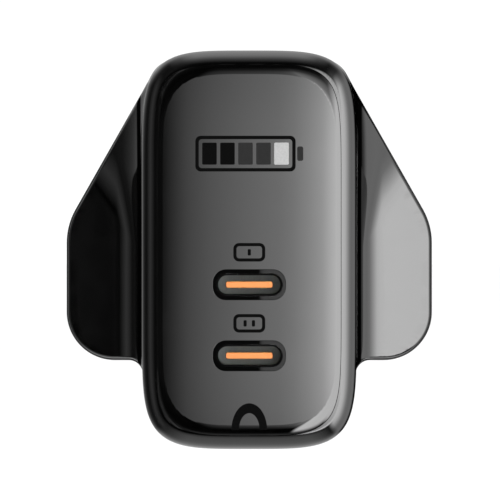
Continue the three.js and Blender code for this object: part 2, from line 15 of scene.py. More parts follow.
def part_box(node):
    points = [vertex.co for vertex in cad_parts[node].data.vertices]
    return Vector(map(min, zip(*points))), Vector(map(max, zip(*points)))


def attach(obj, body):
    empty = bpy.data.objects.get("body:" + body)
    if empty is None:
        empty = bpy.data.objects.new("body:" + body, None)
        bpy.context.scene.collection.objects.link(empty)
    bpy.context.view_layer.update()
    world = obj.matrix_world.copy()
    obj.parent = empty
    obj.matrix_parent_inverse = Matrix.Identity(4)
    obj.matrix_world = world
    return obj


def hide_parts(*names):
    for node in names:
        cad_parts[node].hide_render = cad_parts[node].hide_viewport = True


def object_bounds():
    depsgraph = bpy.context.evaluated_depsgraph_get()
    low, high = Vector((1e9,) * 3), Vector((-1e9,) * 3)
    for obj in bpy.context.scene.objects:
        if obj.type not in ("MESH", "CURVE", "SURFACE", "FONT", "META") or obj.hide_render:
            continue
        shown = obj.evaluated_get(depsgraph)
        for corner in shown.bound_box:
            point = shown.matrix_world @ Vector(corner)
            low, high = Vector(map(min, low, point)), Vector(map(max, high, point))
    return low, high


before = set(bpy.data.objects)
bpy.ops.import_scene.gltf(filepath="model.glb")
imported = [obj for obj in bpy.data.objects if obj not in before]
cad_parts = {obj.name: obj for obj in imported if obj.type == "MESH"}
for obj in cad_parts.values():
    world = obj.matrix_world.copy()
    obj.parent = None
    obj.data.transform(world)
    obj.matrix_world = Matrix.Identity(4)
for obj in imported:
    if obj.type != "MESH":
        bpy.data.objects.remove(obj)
cad_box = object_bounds()

MM = 0.001
BODY = "root"


def box_mm(node):
    low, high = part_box(node)
    return np.array(low) / MM, np.array(high) / MM


# ---- Driving sizes ----

housing_low, housing_high = box_mm("housing")
cover_low, cover_high = box_mm("rear_cover")
panel_low, panel_high = box_mm("front_panel")

FRONT = housing_low[1]
COVER_FRONT = housing_high[1]
COVER_REAR = cover_high[1]
CENTRE_Z = (cover_low[2] + cover_high[2]) / 2

BACK_HALF_WIDTH = 14.65
BACK_HALF_HEIGHT = (cover_high[2] - cover_low[2]) / 2
FRONT_HALF_WIDTH = 14.15
FRONT_HALF_HEIGHT = 26.25
SIDE_POWER = 4.1  # superellipse powers of the body's outline
TOP_POWER = 8.0
FRONT_ROUNDING = 2.0

COVER_HALF_WIDTH = cover_high[0]
WING_HALF_WIDTH = housing_high[0]
WING_FRONT = -6.5
WING_BOTTOM = -11.6
WING_SHOULDER = 6.92
WING_SLANT = math.radians(29.6)
WING_TOP = 29.4
WING_LOWER_RADIUS = 6.6
WING_SHOULDER_RADIUS = 9.3
WING_TOP_RADIUS = 4.0
WING_EDGE_ROUNDING = 0.3
ROOT_ACROSS = 3.6  # the fillet between a wing's face and the body: along the face, up the body
ROOT_DEEP = 2.9
CORNER_FILLET = 1.9  # where a wing's bottom edge meets the body
RAMP_START = (19.3, 13.6)
RAMP_DIRECTION = (0.6, 0.8)
RAMP_SLOPE = 0.84
RAMP_BLEND = 5.5

PANEL_HALF_WIDTH = (panel_high[0] - panel_low[0]) / 2
PANEL_HALF_HEIGHT = (panel_high[2] - panel_low[2]) / 2
PANEL_BACK = panel_high[1]
PANEL_FRONT = FRONT + 0.04
PANEL_GAP = 0.03
PANEL_EDGE = 0.04
SOFT_SIDES = 1.0  # the panel falls away gently towards its edge, over this width at the sides
SOFT_ENDS = 1.95  # and over this width at the top and bottom
SOFT_DROP = 0.058  # as a share of the width
SOFT_CHANGE = (16, 24)  # heights from the middle between which one width becomes the other
LEDGE_WIDTH = 1.6
LEDGE_THICKNESS = 1.5
CAVITY_HALF_WIDTH = 12.3
CAVITY_HALF_HEIGHT = 25.0
CAVITY_POWER = 8.0
WING_WALL = 2.0

COLUMNS = 440
FACE_POINTS = 90  # along each column, from the panel to the outline's rounded edge
EDGE_POINTS = 36  # and on round the edge to the rear seam
EDGE_START = 0.36  # that part begins this far inside the outline, before the edge turns
RAY_STOPS = (0.02, 1.3, 1.8, math.pi * 0.93)  # angles from straight ahead; the edge is in the middle
RAY_COUNTS = (800, 900, 400)  # how many rays are tried between those angles
HALF_OUTLINE_RAYS = 6001  # rays tried on one half of an outline, before its points are spread
OUTLINE_RAYS = 4001  # and round a whole one
PANEL_POINTS = 260  # round the panel's edge
PANEL_RINGS = 24  # across the part of its face that falls away
SEAM_ROUNDING = 0.12  # the housing's edge at the rear cover
SEAM_MARGIN = 0.005
CAVITY_MARGIN = 0.05
LIP_EDGE = 0.015  # how far behind the front the pocket's own wall begins

PORT_Z = [np.mean([corner[2] for corner in box_mm(f"usb_shell_{i}")]) for i in (1, 2)]
BEZEL = (9.56, 3.98)  # outer width and height of the ports' rings
BEZEL_CORNER = 1.7
BEZEL_OPENING = (8.28, 2.48)
PORT_CLEARANCE = 0.045
SHELL_WALL = 0.3
TONGUE_SIDE = 0.18  # the blade's sides stand in from its box, and its moulded faces stand out
TONGUE_SKIN = 0.05
TONGUE_CORNER = 0.2
COLLAR_GAP = 0.02  # between the tongue and the slot in its collar
PADS = 12  # contacts on each face of a tongue
PAD_PITCH = 0.5
PAD_HALF_SIZE = (0.13, 0.03)
PAD_SPAN = (0.9, 3.6)  # where they begin and end, behind the tongue's tip
LINER_WIDTH = 0.24  # the matt ring inside each bezel
BEZEL_RISE = 0.02  # how far the bezel stands in front of the panel, and ends short of the shell
BEZEL_OVERLAP = 0.02  # its opening over the liner's outside
LINER_DEPTH = 0.01  # how far behind the panel's face the liner begins

COVER_MARGIN = 0.003  # keeps the sampled outline inside the true one
BOSS_MARGINS = {"live_pin_sleeve": 1.4, "neutral_pin_sleeve": 1.4, "earth_pin": 1.3}
BOSS_HEIGHT = 1.8
RIB_HEIGHT = 1.4
RIB_INSETS = (2.8, 3.8)
RAISED_OVERLAP = 0.2  # how deep the rib and the bosses begin inside the cover
PIN_GAP = 0.06

ROOT_SHADE_LINE = (14.62, 14.72, 15.2, 15.35)  # how far out the painted shade line, where the shine is dulled down each wing's root, begins and ends
INK_FRONT, INK_BACK = -0.015, 0.02  # the print's faces, from the panel's
INK_EDGE = 0.002


# ---- Outline and surface fields ----


def superellipse_distance(x, z, half_width, half_height, powers=(SIDE_POWER, TOP_POWER)):
    """Distance outside a superellipse about the body's centre line, negative inside it."""
    ax = np.abs(x) / half_width + 1e-9
    az = np.abs(z - CENTRE_Z) / half_height + 1e-9

    def terms(size):
        tx, tz = (ax / size) ** powers[0], (az / size) ** powers[1]
        return tx, tz, powers[0] * tx + powers[1] * tz

    size = np.maximum(ax, az)
    for _ in range(8):
        tx, tz, slope = terms(size)
        size = size * (1 + (tx + tz - 1) / slope)
    tx, tz, slope = terms(size)
    grad_x = powers[0] * tx / (ax * half_width) * size / slope
    grad_z = powers[1] * tz / (az * half_height) * size / slope
    return (size - 1) / np.hypot(grad_x, grad_z)


def body_distance(x, y, z):
    """The body's side wall, which narrows towards the front."""
    forward = np.clip((COVER_REAR - y) / (COVER_REAR - FRONT), 0, 1)
    half_width = BACK_HALF_WIDTH + (FRONT_HALF_WIDTH - BACK_HALF_WIDTH) * forward
    half_height = BACK_HALF_HEIGHT + (FRONT_HALF_HEIGHT - BACK_HALF_HEIGHT) * forward
    return superellipse_distance(x, z, half_width, half_height)


def wing_distance(x, z, half_width):
    """The outline of both wings; a smaller half_width insets all of it."""
    inset = COVER_HALF_WIDTH - half_width
    side, bottom, top = half_width, WING_BOTTOM + inset, WING_TOP - inset
    shoulder = WING_SHOULDER - inset * math.tan(WING_SLANT / 2)
    px = np.abs(x)
    normal = (math.cos(WING_SLANT), math.sin(WING_SLANT))
    slant = (px - side) * normal[0] + (z - shoulder) * normal[1]
    distance = np.maximum.reduce([px - side, bottom - z, slant, z - top])
    low = WING_LOWER_RADIUS - inset
    high = WING_SHOULDER_RADIUS - inset
    high_z = shoulder - high * math.tan(WING_SLANT / 2)
    peak = WING_TOP_RADIUS - inset
    peak_x = side - (peak + (top - peak - shoulder) * normal[1]) / normal[0]
    corners = [
        (low, side - low, bottom + low, lambda cx, cz: (cx > 0) & (cz < 0)),
        (high, side - high, high_z, lambda cx, cz: (cz > 0) & (cx * normal[1] - cz * normal[0] > 0)),
        (peak, peak_x, top - peak, lambda cx, cz: (cx > 0) & (cz * normal[0] - cx * normal[1] > 0)),
    ]
    for radius, corner_x, corner_z, holds in corners:
        cx, cz = px - corner_x, z - corner_z
        distance = np.where(holds(cx, cz), np.hypot(cx, cz) - radius, distance)
    return distance


def joined_outline(body, x, z, half_width):
    """Body and wings as one outline, with a small fillet under each wing."""
    wing = wing_distance(x, z, half_width)
    radius = np.where(z < 0, CORNER_FILLET, 1e-6)
    outer = np.maximum(radius, np.minimum(body, wing))
    return outer - np.hypot(np.maximum(radius - body, 0), np.maximum(radius - wing, 0))


def ramp_height(x, z):
    """How far a wing's front face stands forward of its flat part."""
    length = math.hypot(*RAMP_DIRECTION)
    along = (RAMP_DIRECTION[0] / length, RAMP_DIRECTION[1] / length)
    across = -along[1] * (np.abs(x) - RAMP_START[0]) + along[0] * (z - RAMP_START[1])
    blend = RAMP_BLEND
    middle = RAMP_SLOPE * (across + blend / 2) ** 2 / (2 * blend)
    height = np.where(across > blend / 2, RAMP_SLOPE * across, middle)
    return np.where(across < -blend / 2, 0, height)


def rounded_meet(a, b, radius):
    """Two faces meeting in a rounded outer edge."""
    inner = np.minimum(np.maximum(a, b), -radius)
    return inner + np.hypot(np.maximum(a + radius, 0), np.maximum(b + radius, 0))


def root_join(body, face):
    """The body and the wings' front face, joined with a fillet that is wider than it is deep."""
    u, v = body / ROOT_ACROSS, face / ROOT_DEEP
    outer = np.maximum(1, np.minimum(u, v))
    joined = outer - np.hypot(np.maximum(1 - u, 0), np.maximum(1 - v, 0))
    return joined * ROOT_DEEP


def housing_field(x, y, z):
    """Negative inside the housing's outer surface."""
    side = body_distance(x, y, z)
    body = rounded_meet(side, FRONT - y, FRONT_ROUNDING)
    face = WING_FRONT - ramp_height(x, z) - y
    face = face / math.hypot(1, RAMP_SLOPE)
    outline = joined_outline(side, x, z, WING_HALF_WIDTH)
    wings = rounded_meet(outline, root_join(body, face), WING_EDGE_ROUNDING)
    return rounded_meet(np.minimum(body, wings), y - COVER_FRONT, SEAM_ROUNDING)


# ---- Sampling ----


def ray_reach(outside, shape, nearest, farthest, halvings):
    """How far along each ray it leaves a solid, found by halving."""
    low, high = np.full(shape, nearest), np.full(shape, farthest)
    for _ in range(halvings):
        middle = (low + high) / 2
        beyond = outside(middle)
        high = np.where(beyond, middle, high)
        low = np.where(beyond, low, middle)
    return (low + high) / 2


def outline_radius(field, angle, level=0.0):
    """How far from the centre line each angle's ray leaves the outline."""
    cos_a, sin_a = np.cos(angle), np.sin(angle)

    def outside(reach):
        return field(reach * cos_a, CENTRE_Z + reach * sin_a) > level

    return ray_reach(outside, angle.shape, nearest=1.0, farthest=45.0, halvings=40)


def fine_outline(field, first, last, rays, level=0.0):
    """Evenly spaced angles, and the points where their rays leave the outline."""
    angles = np.linspace(first, last, rays)
    radius = outline_radius(field, angles, level)
    return angles, np.column_stack([radius * np.cos(angles), CENTRE_Z + radius * np.sin(angles)])


def spread(points, count, turn_weight, step):
    """Indices, as fractions, that space count points along a polyline by length and by turning."""
    edge = np.diff(points, axis=0)
    length = np.hypot(*edge.T)
    heading = np.unwrap(np.arctan2(edge[:, 1], edge[:, 0]))
    turning = np.abs(np.diff(heading, prepend=heading[0]))
    cost = np.concatenate([[0], np.cumsum(length / step + turn_weight * turning)])
    return np.interp(np.linspace(0, cost[-1], count), cost, np.arange(len(cost)))


def full_outline(x, z, inset=0.0):
    """The rear cover's outline: body and wings together."""
    body = superellipse_distance(x, z, BACK_HALF_WIDTH, BACK_HALF_HEIGHT)
    return joined_outline(body, x, z, COVER_HALF_WIDTH) + inset


def column_angles():
    """Angles round the body, closer together where the outline turns."""
    quarter = math.pi / 2
    fine, points = fine_outline(full_outline, -quarter, quarter, HALF_OUTLINE_RAYS)
    where = spread(points, COLUMNS // 2 + 1, turn_weight=14.0, step=1.0)
    right = np.interp(where, np.arange(len(fine)), fine)
    left = math.pi - right[-2:0:-1]
    return np.concatenate([right, left])


def resampled(line, count, turn_weight=16.0, step=1.2):
    """A polyline's points spaced again, closer together where it turns."""
    where = spread(line, count, turn_weight, step)
    index = np.arange(len(line))
    return np.column_stack([np.interp(where, index, line[:, k]) for k in (0, 1)])


def traced(field, count, level=0.0):
    """An outline as points, closer together where it turns."""
    points = fine_outline(field, -math.pi, math.pi, OUTLINE_RAYS, level)[1]
    return resampled(points, count + 1, turn_weight=10.0, step=1.0)[:-1].tolist()


def outer_profiles(angles):
    """For each column, points from the panel's pocket round the outside to the rear seam."""
    start_y = WING_FRONT / 2
    spans = zip(RAY_STOPS, RAY_STOPS[1:], RAY_COUNTS)
    fine = [np.linspace(a, b, n, endpoint=b == RAY_STOPS[-1]) for a, b, n in spans]
    fine = np.concatenate(fine)
    direction_r, direction_y = np.sin(fine)[None, :], -np.cos(fine)[None, :]
    cos_a, sin_a = np.cos(angles)[:, None], np.sin(angles)[:, None]

    def outside(reach):
        r, y = reach * direction_r, start_y + reach * direction_y
        return housing_field(r * cos_a, y, CENTRE_Z + r * sin_a) > 0

    shape = (len(angles), len(fine))
    reach = ray_reach(outside, shape, nearest=0.5, farthest=60.0, halvings=26)
    radius, depth = reach * direction_r, start_y + reach * direction_y
    x, z = radius * cos_a, CENTRE_Z + radius * sin_a
    outline = joined_outline(body_distance(x, depth, z), x, z, WING_HALF_WIDTH)
    pocket = outline_radius(panel_outline(-PANEL_GAP), angles)
    seam = outline_radius(hollow_outline, angles)
    profiles = []
    for i in range(len(angles)):
        ahead = depth[i] < WING_FRONT
        first = np.argmax(~(ahead & (radius[i] < pocket[i])))
        behind = (depth[i] > COVER_FRONT - SEAM_MARGIN) & (radius[i] < seam[i])
        last = np.argmax(behind) if behind.any() else len(fine) - 1
        line = np.column_stack([radius[i], depth[i]])
        line[first, 0] = pocket[i]
        edge = first + np.argmax(outline[i][first:last] > -EDGE_START)
        face = resampled(line[first : edge + 1], FACE_POINTS)
        profiles.append(np.concatenate([face, resampled(line[edge : last + 1], EDGE_POINTS)[1:]]))
    return np.array(profiles)


def panel_outline(inset):
    return lambda x, z: superellipse_distance(
        x, z, PANEL_HALF_WIDTH - inset, PANEL_HALF_HEIGHT - inset
    )


def cavity_outline(x, z):
    powers = (CAVITY_POWER, CAVITY_POWER)
    return superellipse_distance(x, z, CAVITY_HALF_WIDTH, CAVITY_HALF_HEIGHT, powers)


def hollow_outline(x, z):
    """The inside of the wall round the body and the wings."""
    return full_outline(x, z, WING_WALL)



def inner_profile(angles):
    """From the rear seam through the hollow to the pocket's rim, as (radius per column, depth)."""
    wing_hollow = outline_radius(hollow_outline, angles)
    cavity = np.minimum(outline_radius(cavity_outline, angles), wing_hollow - CAVITY_MARGIN)
    window = outline_radius(panel_outline(LEDGE_WIDTH), angles)
    pocket = outline_radius(panel_outline(-PANEL_GAP), angles)
    wing_floor = WING_FRONT + WING_WALL
    ledge_back = PANEL_BACK + LEDGE_THICKNESS
    ease = 0.1
    return [
        (wing_hollow, COVER_FRONT - ease),
        (wing_hollow, wing_floor + ease),
        (wing_hollow - ease, wing_floor),
        (cavity + ease, wing_floor),
        (cavity, wing_floor - ease),
        (cavity, ledge_back + ease),
        (cavity - ease, ledge_back),
        (window + ease, ledge_back),
        (window, ledge_back - ease),
        (window, PANEL_BACK + ease),
        (window + ease, PANEL_BACK),
        (pocket - ease, PANEL_BACK),
        (pocket, PANEL_BACK - ease),
        (pocket, FRONT + LIP_EDGE),
    ]


def field_normals(points):
    """The outer surface's own normals, from the field."""
    slope = []
    for step in np.eye(3) * 0.004:
        ahead, behind = (points + step).T, (points - step).T
        slope.append(housing_field(*ahead) - housing_field(*behind))
    slope = np.array(slope).T
    slope /= np.linalg.norm(slope, axis=1)[:, None]
    return [Vector(row) for row in slope]


# ---- Mesh helpers ----


def in_scene(name, data):
    """A new object for this mesh, curve, lamp or camera, in the scene."""
    made = bpy.data.objects.new(name, data)
    bpy.context.scene.collection.objects.link(made)
    return made


def reworked(mesh, change):
    """Puts a mesh through what change does to it as a bmesh."""
    work = bmesh.new()
    work.from_mesh(mesh)
    change(work)
    work.to_mesh(mesh)
    work.free()


def face_outwards(work):
    bmesh.ops.recalc_face_normals(work, faces=work.faces)


def new_object(name, vertices, faces):
    """A smooth mesh object from points in millimetres."""
    mesh = bpy.data.meshes.new(name)
    mesh.from_pydata((np.asarray(vertices, float) * MM).tolist(), [], faces)
    mesh.validate()
    mesh.update()
    mesh.shade_smooth()
    return in_scene(name, mesh)


def level_faces(piece):
    """Keeps faces that look straight forward or back shading as flat, up to their rounded edges."""
    mesh = piece.data
    normals = [vertex.normal.copy() for vertex in mesh.vertices]
    for face in mesh.polygons:
        if abs(face.normal.y) > 0.9999:
            for index in face.vertices:
                normals[index] = Vector((0, math.copysign(1, face.normal.y), 0))
    mesh.normals_split_custom_set_from_vertices(normals)
    return piece


def finish_piece(piece, node, look):
    """Puts a new piece on the body, in its CAD node's place."""
    piece.data.materials.clear()
    piece.data.materials.append(look)
    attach(piece, BODY)
    if node:
        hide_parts(node)


def plate(name, outlines, y_front, y_rear, edge):
    """A flat plate with an edge radius: its outline and then its holes, each a list of (x, z)."""
    curve = bpy.data.curves.new(name, "CURVE")
    curve.dimensions = "2D"
    curve.fill_mode = "BOTH"
    for points in outlines:
        spline = curve.splines.new("POLY")
        spline.points.add(len(points) - 1)
        for point, (x, z) in zip(spline.points, points):
            point.co = (x * MM, z * MM, 0, 1)
        spline.use_cyclic_u = True
    curve.extrude = ((y_rear - y_front) / 2 - edge) * MM
    curve.bevel_depth = edge * MM
    curve.offset = -edge * MM
    curve.bevel_resolution = 3
    holder = in_scene(name, curve)
    bpy.context.view_layer.update()
    graph = bpy.context.evaluated_depsgraph_get()
    mesh = bpy.data.meshes.new_from_object(holder.evaluated_get(graph))
    bpy.data.objects.remove(holder)
    mesh.name = name
    move = Matrix.Translation((0, (y_front + y_rear) / 2 * MM, 0))
    mesh.transform(move @ Matrix.Rotation(math.pi / 2, 4, "X"))

    def clean(work):
        bmesh.ops.remove_doubles(work, verts=work.verts, dist=0.002 * MM)
        face_outwards(work)

    reworked(mesh, clean)
    mesh.shade_smooth()
    return level_faces(in_scene(name, mesh))


def join(target, *others):
    """Adds the others' faces to target's mesh."""

    def take_in(work):
        for piece in others:
            work.from_mesh(piece.data)

    reworked(target.data, take_in)
    for piece in others:
        bpy.data.objects.remove(piece)
    return level_faces(target)


def rounded_rectangle(x, z, half_width, half_height, radius, steps):
    points = []
    corners = ((1, 1, 0), (-1, 1, 90), (-1, -1, 180), (1, -1, 270))
    for side_x, side_z, start in corners:
        centre_x = x + side_x * (half_width - radius)
        centre_z = z + side_z * (half_height - radius)
        for k in range(steps + 1):
            turn = math.radians(start + 90 * k / steps)
            points.append((centre_x + radius * math.cos(turn), centre_z + radius * math.sin(turn)))
    return points


def pill(z, width, height):
    return rounded_rectangle(0, z, width / 2, height / 2, height / 2 - 1e-3, 14)


def bezel_outline(z, out):
    """The outer edge of a port's ring, moved outwards by out."""
    half_width, half_height = (length / 2 + out for length in BEZEL)
    return rounded_rectangle(0, z, half_width, half_height, BEZEL_CORNER + out, 10)


# ---- Materials ----


def grey(level):
    return (level, level, level)


class Graph:
    """A material's nodes under construction, with the object's own coordinates."""

    def __init__(self, name):
        self.material = bpy.data.materials.new(name)
        self.material.use_nodes = True
        self.nodes = self.material.node_tree.nodes
        self.links = self.material.node_tree.links
        self.place = self.nodes.new("ShaderNodeTexCoord").outputs["Object"]

    def feed(self, socket, value):
        if isinstance(value, bpy.types.NodeSocket):
            self.links.new(value, socket)
        else:
            socket.default_value = value

    def node(self, kind, **inputs):
        made = self.nodes.new(kind)
        for socket, value in inputs.items():
            self.feed(made.inputs[socket.replace("_", " ")], value)
        return made

    def maths(self, kind, *values):
        made = self.nodes.new("ShaderNodeMath")
        made.operation = kind
        for socket, value in zip(made.inputs, values):
            self.feed(socket, value)
        return made.outputs["Value"]

    def axes(self):
        parts = self.node("ShaderNodeSeparateXYZ", Vector=self.place)
        return [parts.outputs[axis] for axis in "XYZ"]

    def between(self, value, low, high, from_low=0.3, from_high=0.7, blend="LINEAR"):
        """A value remapped, from noise's usual range if no other is given, to low..high."""
        limits = {"From_Min": from_low, "From_Max": from_high, "To_Min": low, "To_Max": high}
        made = self.node("ShaderNodeMapRange", Value=value, **limits)
        made.interpolation_type = blend
        return made.outputs["Result"]

    def ramp(self, value, stops):
        """Colors by value; each stop is a position and its four channels."""
        made = self.node("ShaderNodeValToRGB", Fac=value)
        elements = made.color_ramp.elements
        elements.remove(elements[-1])
        for k, (position, color) in enumerate(stops):
            element = elements[0] if k == 0 else elements.new(position)
            element.position = position
            element.color = color
        return made


class Look(Graph):
    """A Principled material."""

    def __init__(self, name, metallic=0.0, specular=0.5):
        super().__init__(name)
        self.shader = self.nodes["Principled BSDF"].inputs
        self.shader["Metallic"].default_value = metallic
        self.shader["Specular IOR Level"].default_value = specular
        self.height = None

    def drive(self, socket, value, plain):
        """Feeds the shader; plain is the socket's value where nodes aren't run."""
        self.shader[socket].default_value = plain
        self.feed(self.shader[socket], value)

    def noise(self, per_mm, detail=3.0, stretch=(1, 1, 1)):
        """Noise with about per_mm features to the millimetre."""
        scaled = self.node("ShaderNodeMapping", Vector=self.place, Scale=stretch)
        return self.node(
            "ShaderNodeTexNoise",
            Vector=scaled.outputs["Vector"],
            Scale=per_mm / MM,
            Detail=detail,
            Roughness=0.55,
        ).outputs["Fac"]

    def vary_color(self, value, first, second, low=0.35, high=0.65):
        made = self.ramp(value, [(low, (*first, 1)), (high, (*second, 1))])
        self.drive("Base Color", made.outputs["Color"], (*first, 1))

    def vary_roughness(self, value, low, high):
        self.drive("Roughness", self.between(value, low, high), (low + high) / 2)

    def bump(self, value, depth_mm, strength):
        """Stacks a bump of the given depth on any earlier one."""
        made = self.node("ShaderNodeBump", Height=value, Strength=strength, Distance=depth_mm * MM)
        if self.height is not None:
            self.feed(made.inputs["Normal"], self.height)
        self.height = made.outputs["Normal"]
        self.feed(self.shader["Normal"], self.height)


def follow(look, noise, tones, roughness, relief=None):
    """Lets a look's color, roughness and relief all follow one noise."""
    grain = look.noise(*noise)
    look.vary_color(grain, *tones)
    look.vary_roughness(grain, *roughness)
    if relief:
        look.bump(grain, *relief)


DEEP_TONES = (grey(0.0004), grey(0.0007))


def gloss_black():
    """Polished black moulding, with painted shade: its shine is dulled along a line down each wing's
    root.
    """
    look = Look("gloss_black_moulding")
    follow(look, (0.35, 4.0), DEEP_TONES, (0.04, 0.065))
    look.bump(look.noise(0.06, 1.0), 0.0015, 0.2)
    # painted shade: the shine is dulled in a strip down each wing's root, so that the crease reads dark
    away = look.maths("ABSOLUTE", look.axes()[0])
    begins = look.between(away, 0.5, 0.0, *(value * MM for value in ROOT_SHADE_LINE[:2]))
    ends = look.between(away, 0.0, 0.5, *(value * MM for value in ROOT_SHADE_LINE[2:]))
    look.feed(look.shader["Specular IOR Level"], look.maths("ADD", begins, ends))
    return look.material


def satin_black():
    """Spark-eroded black moulding with a fine even grain, which scatters most of its shine."""
    look = Look("satin_black_moulding", specular=0.15)
    grain = look.noise(6.0, 4.0)
    look.vary_color(look.noise(0.5, 3.0), grey(0.004), (0.0075, 0.0075, 0.0078))
    look.vary_roughness(grain, 0.42, 0.6)
    look.bump(grain, 0.02, 0.5)
    return look.material


def bezel_black():
    """The ports' black rings, with painted reflection: their shine is held back on the left and let in
    towards their right-hand ends.
    """
    look = Look("port_bezel_black")
    # painted reflection: the shine grows from nothing on the left to its full level towards the
    # right-hand ends
    painted_sheen = look.between(look.axes()[0], 0.0, 0.14, 1.2 * MM, 1.9 * MM)
    look.feed(look.shader["Specular IOR Level"], painted_sheen)
    tones = (grey(0.0008), grey(0.0014))
    follow(look, (6.0, 3.0), tones, (0.18, 0.28))
    return look.material


def circuit_board():
    """Green solder mask over etched tracks, with the laminate's weave showing faintly."""
    look = Look("solder_mask")
    cells = look.node("ShaderNodeTexVoronoi", Vector=look.place, Scale=0.55 / MM)
    cells.distance = "CHEBYCHEV"
    tracks = look.between(cells.outputs["Distance"], 0.0, 1.0, 0.3, 0.36)
    look.vary_color(tracks, (0.035, 0.2, 0.085), (0.018, 0.105, 0.045), 0.4, 0.6)
    weave = look.noise(3.0, 2.0)
    look.vary_roughness(weave, 0.28, 0.45)
    look.bump(tracks, 0.03, 0.6)
    look.bump(weave, 0.01, 0.3)
    return look.material


def winding_tape():
    """Yellow polyester tape in overlapping turns."""
    look = Look("polyester_tape")
    turns = look.node("ShaderNodeTexWave", Vector=look.place, Scale=0.12 / MM, Distortion=0.6)
    turns.bands_direction = "X"
    look.vary_color(turns.outputs["Fac"], (0.7, 0.4, 0.03), (0.86, 0.58, 0.06), 0.1, 0.9)
    look.vary_roughness(look.noise(1.5), 0.25, 0.45)
    look.bump(turns.outputs["Fac"], 0.05, 0.5)
    return look.material


# Finishes that follow one noise: its features to the mm, detail and stretch; their two tones; their
# range of roughness; and their relief's depth in mm and strength.
FINISHES = {
    "gloss_black_insert": ((0.25, 4.0), DEEP_TONES, (0.012, 0.03)),
    "pin_sleeve_nylon": (
        (1.2, 4.0, (1, 0.15, 1)), ((0.007, 0.007, 0.0073), (0.011, 0.011, 0.0113)), (0.36, 0.46),
    ),
    "nickel_plate": (
        (5.0, 5.0, (1, 0.03, 1)), ((0.66, 0.63, 0.56), (0.74, 0.72, 0.66)), (0.2, 0.3), (0.002, 0.4),
    ),
    "enamelled_copper": ((2.0, 3.0), ((0.42, 0.12, 0.035), (0.62, 0.24, 0.08)), (0.2, 0.38)),
    "receptacle_steel": (
        (6.0, 4.0, (1, 0.08, 1)), (grey(0.26), grey(0.36)), (0.16, 0.32), (0.004, 0.4),
    ),
    "orange_nylon": (
        (9.0, 3.0, (1, 1, 3)), ((0.61, 0.185, 0.04), (0.67, 0.215, 0.05)), (0.35, 0.5), (0.006, 0.4),
    ),
    "collar_nylon": (
        (5.0, 3.0), ((0.22, 0.25, 0.245), (0.28, 0.31, 0.305)), (0.42, 0.58), (0.01, 0.4),
    ),
    "gold_contacts": (
        (10.0, 3.0, (1, 0.1, 1)), ((0.74, 0.48, 0.16), (0.86, 0.62, 0.26)), (0.15, 0.3),
    ),
    "moulded_epoxy": (
        (8.0, 4.0), ((0.015, 0.015, 0.017), (0.032, 0.032, 0.034)), (0.5, 0.7), (0.02, 0.5),
    ),
    "pressed_ferrite": (
        (4.0, 5.0), ((0.03, 0.03, 0.034), (0.075, 0.075, 0.08)), (0.6, 0.85), (0.05, 0.5),
    ),
    "brown_insulation": (
        (2.5, 3.0), ((0.16, 0.05, 0.02), (0.2, 0.07, 0.03)), (0.38, 0.55), (0.01, 0.4),
    ),
    "blue_insulation": (
        (2.5, 3.0), ((0.02, 0.1, 0.4), (0.03, 0.14, 0.5)), (0.38, 0.55), (0.01, 0.4),
    ),
    "shrink_sleeve": (
        (0.8, 3.0, (0.2, 1, 1)), ((0.025, 0.017, 0.05), (0.045, 0.032, 0.08)), (0.22, 0.4),
        (0.03, 0.4),
    ),
    "drawn_aluminium_can": (
        (5.0, 4.0, (1, 0.06, 1)), ((0.53, 0.54, 0.56), (0.68, 0.69, 0.71)), (0.22, 0.42), (0.01, 0.4),
    ),
    "dipped_lacquer": (
        (0.7, 3.0), ((0.016, 0.08, 0.28), (0.03, 0.13, 0.42)), (0.22, 0.4), (0.08, 0.4),
    ),
    "yellow_box_plastic": (
        (3.0, 4.0), ((0.62, 0.39, 0.06), (0.75, 0.5, 0.1)), (0.38, 0.55), (0.02, 0.4),
    ),
    "rolled_aluminium": (
        (4.0, 4.0, (1, 1, 0.04)), ((0.62, 0.63, 0.64), (0.76, 0.77, 0.78)), (0.25, 0.45), (0.008, 0.4),
    ),
    "silicone_pad": (
        (2.0, 4.0), ((0.21, 0.24, 0.27), (0.29, 0.32, 0.35)), (0.75, 0.92), (0.05, 0.5),
    ),
    "polyimide_film": (
        (0.6, 2.0), ((0.35, 0.16, 0.025), (0.46, 0.23, 0.04)), (0.18, 0.32), (0.03, 0.3),
    ),
}
# A second relief on top, from a noise of its own: that noise, and the relief's depth and strength.
SECOND_RELIEF = {
    "pin_sleeve_nylon": ((5.0,), 0.006, 0.3),
    "nickel_plate": ((0.8, 2.0), 0.01, 0.2),
    "enamelled_copper": ((3.0, 2.0, (1, 4, 4)), 0.02, 0.4),
}
METALS = ("receptacle_steel", "gold_contacts", "drawn_aluminium_can", "rolled_aluminium", "nickel_plate")
METALLIC = {"enamelled_copper": 0.75, **dict.fromkeys(METALS, 1.0)}
SPECULAR = {"pin_sleeve_nylon": 0.25}
REFRACTION = {"pressed_ferrite": 1.6, "polyimide_film": 1.6, "silicone_pad": 1.4}


def finish(name):
    """One of those finishes."""
    look = Look(name, METALLIC.get(name, 0.0), SPECULAR.get(name, 0.5))
    look.shader["IOR"].default_value = REFRACTION.get(name, 1.5)
    follow(look, *FINISHES[name])
    if name in SECOND_RELIEF:
        noise, *relief = SECOND_RELIEF[name]
        look.bump(look.noise(*noise), *relief)
    return look.material


def printed_ink(name, first, second, specular):
    """Screen-printed ink, with its slightly uneven cover."""
    look = Look(name, specular=specular)
    follow(look, (4.0, 3.0), (first, second), (0.54, 0.66), (0.004, 0.3))
    return look.material


# ---- Pieces ----


